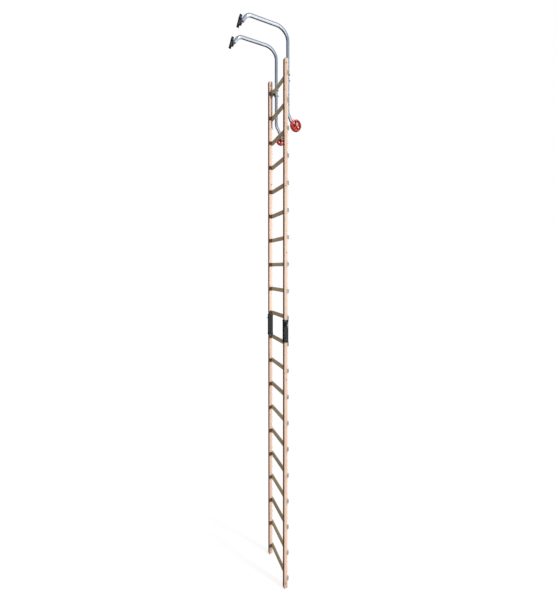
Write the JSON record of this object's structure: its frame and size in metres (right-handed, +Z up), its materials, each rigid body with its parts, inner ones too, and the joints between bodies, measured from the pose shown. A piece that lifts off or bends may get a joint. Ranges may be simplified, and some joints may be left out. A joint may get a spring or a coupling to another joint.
{
  "type": "roof ladder",
  "caption": "Wooden roof ladder in two plug-together sections, with steel joining sleeves, tubular ridge hooks, swivelling rubber pads and turning wheels.",
  "frame": {"origin": "the ridge line: midway between the two hooks, under the middle of their straight arms, where the roof ridge sits", "axes": "+X across the ladder along the rungs, +Y towards the roof side, where the hooks point, +Z up along the stiles"},
  "size_m": [0.4818, 0.698, 5.934],
  "materials": {
    "stile_wood": "planed, clear sealed",
    "rung_wood": "planed, clear sealed",
    "sleeve_paint": "black powder coat, satin",
    "tube_zinc": "bright zinc plated tube",
    "fastener_zinc": "zinc plated",
    "rivet_brass": "tarnished brass",
    "dark_bolt": "black oxide",
    "pad_rubber": "moulded black rubber",
    "pad_paint": "black powder coat",
    "wheel_red": "moulded red plastic",
    "bush_nylon": "natural nylon",
    "cap_plastic": "black moulded cap"
  },
  "bodies": {
    "upper_section": {"upper_stile_left": "stile_wood", "upper_stile_right": "stile_wood", "rung_01": "rung_wood", "rung_02": "rung_wood", "rung_03": "rung_wood", "rung_04": "rung_wood", "rung_05": "rung_wood", "rung_06": "rung_wood", "rung_07": "rung_wood", "rung_08": "rung_wood", "rung_09": "rung_wood", "rung_10": "rung_wood", "rung_screws_upper": "fastener_zinc", "end_rivets_upper": "rivet_brass", "hook_tube_left": "tube_zinc", "hook_tube_right": "tube_zinc", "hook_tongue_left": "tube_zinc", "hook_tongue_right": "tube_zinc", "hook_end_caps": "cap_plastic", "rung_saddles": "fastener_zinc", "saddle_bolts": "dark_bolt", "saddle_nuts": "dark_bolt", "tube_packers": "fastener_zinc", "tube_screws": "fastener_zinc", "axle_bolts": "fastener_zinc", "axle_nuts": "fastener_zinc", "inner_axle_washers": "fastener_zinc", "outer_axle_washers": "fastener_zinc"},
    "lower_section": {"lower_stile_left": "stile_wood", "lower_stile_right": "stile_wood", "rung_11": "rung_wood", "rung_12": "rung_wood", "rung_13": "rung_wood", "rung_14": "rung_wood", "rung_15": "rung_wood", "rung_16": "rung_wood", "rung_17": "rung_wood", "rung_18": "rung_wood", "rung_19": "rung_wood", "rung_20": "rung_wood", "rung_screws_lower": "fastener_zinc", "end_rivets_lower": "rivet_brass", "sleeve_left": "sleeve_paint", "sleeve_right": "sleeve_paint", "sleeve_weld_nuts": "sleeve_paint", "sleeve_bolts": "dark_bolt", "sleeve_nuts": "dark_bolt"},
    "wing_left": {"wing_bolt_left": "fastener_zinc"},
    "wing_right": {"wing_bolt_right": "fastener_zinc"},
    "wheel_left": {"wheel_left": "wheel_red", "wheel_bush_left": "bush_nylon"},
    "wheel_right": {"wheel_right": "wheel_red", "wheel_bush_right": "bush_nylon"},
    "pad_left": {"pad_bracket_left": "pad_paint", "pad_rubber_left": "pad_rubber", "pad_pivot_left": "fastener_zinc"},
    "pad_right": {"pad_bracket_right": "pad_paint", "pad_rubber_right": "pad_rubber", "pad_pivot_right": "fastener_zinc"}
  },
  "joints": [
    {"name": "section_slide", "type": "slide", "parent": "upper_section", "child": "lower_section", "axis": [0, 0, -1], "range_m": [0, 0.12]},
    {"name": "wheel_left_spin", "type": "hinge", "parent": "upper_section", "child": "wheel_left", "pos_m": [-0.1686, -0.3449, -0.98325], "axis": [1, 0, 0], "continuous": true},
    {"name": "wheel_right_spin", "type": "hinge", "parent": "upper_section", "child": "wheel_right", "pos_m": [0.1686, -0.3449, -0.98325], "axis": [1, 0, 0], "continuous": true},
    {"name": "pad_left_swivel", "type": "hinge", "parent": "upper_section", "child": "pad_left", "pos_m": [-0.134, 0.24332, -0.08129], "axis": [1, 0, 0], "range_deg": [-135, 4]},
    {"name": "pad_right_swivel", "type": "hinge", "parent": "upper_section", "child": "pad_right", "pos_m": [0.134, 0.24332, -0.08129], "axis": [1, 0, 0], "range_deg": [-135, 4]},
    {"name": "wing_left_turn", "type": "hinge", "parent": "lower_section", "child": "wing_left", "pos_m": [-0.21, -0.2165, -3.069], "axis": [-1, 0, 0], "range_deg": [0, 450]},
    {"name": "wing_right_turn", "type": "hinge", "parent": "lower_section", "child": "wing_right", "pos_m": [0.21, -0.2165, -3.069], "axis": [1, 0, 0], "range_deg": [0, 450]}
  ]
}
